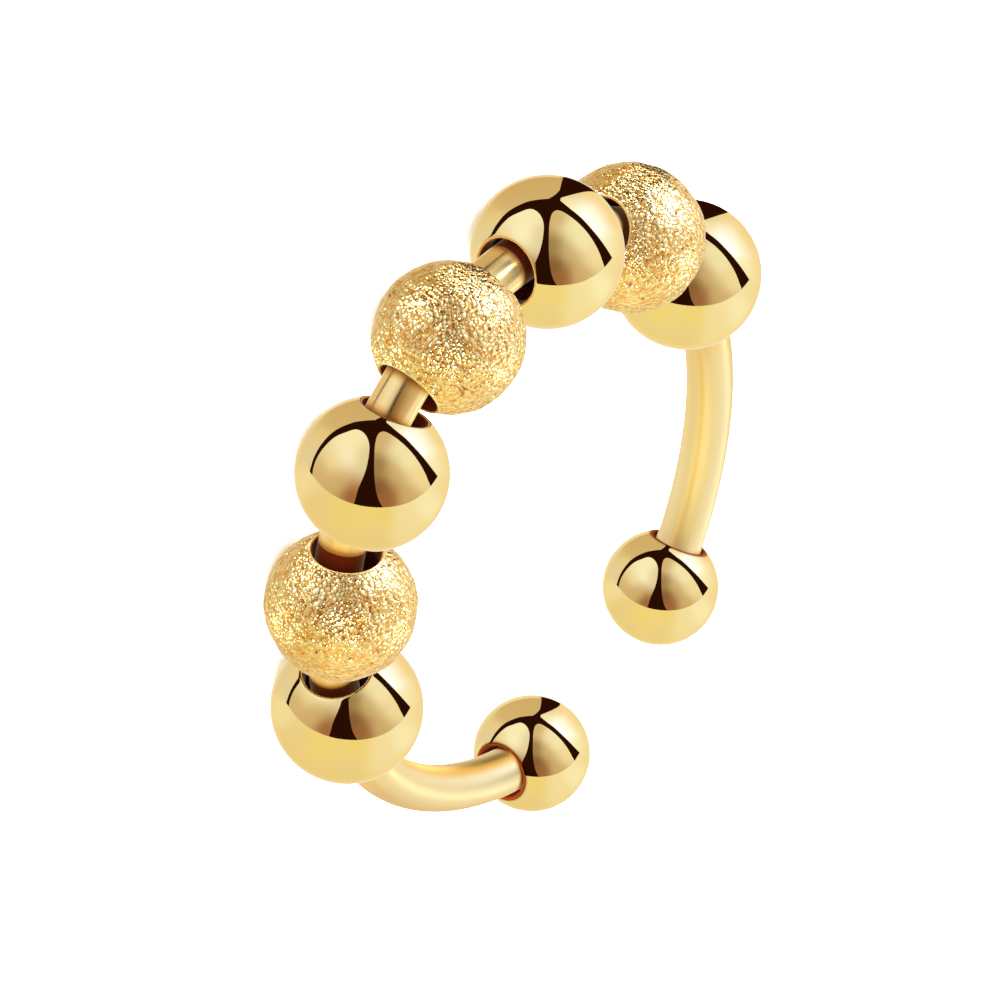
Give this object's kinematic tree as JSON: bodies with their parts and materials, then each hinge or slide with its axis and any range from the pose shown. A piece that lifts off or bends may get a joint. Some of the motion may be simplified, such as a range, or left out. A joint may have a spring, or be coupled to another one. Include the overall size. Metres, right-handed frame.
{
  "type": "spinner ring",
  "caption": "Open wire finger ring with loose round beads, alternately polished and frosted, that spin on the bent wire between two small end balls.",
  "frame": {"origin": "centre of the oval that the wire's middle line follows, where the middle of the finger goes through", "axes": "+Z along the finger and up when the ring lies on its side, +Y towards the open side with the end balls, +X across the finger"},
  "size_m": [0.0262, 0.0298, 0.0055],
  "materials": {
    "polished_gold": "mirror-polished yellow gold plating",
    "frosted_gold": "yellow gold plating with a fine sparkling pitted texture",
    "satin_gold": "softly polished yellow gold plating on drawn wire"
  },
  "bodies": {
    "band": {"wire_band": "satin_gold", "right_end_ball": "polished_gold", "left_end_ball": "polished_gold"},
    "bead_1": {"polished_bead_1": "polished_gold"},
    "bead_2": {"frosted_bead_2": "frosted_gold"},
    "bead_3": {"polished_bead_3": "polished_gold"},
    "bead_4": {"frosted_bead_4": "frosted_gold"},
    "bead_5": {"polished_bead_5": "polished_gold"},
    "bead_6": {"frosted_bead_6": "frosted_gold"},
    "bead_7": {"polished_bead_7": "polished_gold"}
  },
  "joints": [
    {"name": "bead_1_spin", "type": "hinge", "parent": "band", "child": "bead_1", "pos_m": [0.01034, -0.002, 0.00028], "axis": [0.1373, 0.9905, 0], "continuous": true},
    {"name": "bead_2_spin", "type": "hinge", "parent": "band", "child": "bead_2", "pos_m": [0.00868, -0.00702, 0.00028], "axis": [0.4818, 0.8763, 0], "continuous": true},
    {"name": "bead_3_spin", "type": "hinge", "parent": "band", "child": "bead_3", "pos_m": [0.0052, -0.0111, 0.00028], "axis": [0.8031, 0.5959, 0], "continuous": true},
    {"name": "bead_4_spin", "type": "hinge", "parent": "band", "child": "bead_4", "pos_m": [0, -0.01282, 0.00028], "axis": [1, 0, 0], "continuous": true},
    {"name": "bead_5_spin", "type": "hinge", "parent": "band", "child": "bead_5", "pos_m": [-0.0052, -0.0111, 0.00028], "axis": [0.8031, -0.5959, 0], "continuous": true},
    {"name": "bead_6_spin", "type": "hinge", "parent": "band", "child": "bead_6", "pos_m": [-0.00868, -0.00702, 0.00028], "axis": [0.4818, -0.8763, 0], "continuous": true},
    {"name": "bead_7_spin", "type": "hinge", "parent": "band", "child": "bead_7", "pos_m": [-0.01034, -0.002, 0.00028], "axis": [0.1373, -0.9905, 0], "continuous": true}
  ]
}
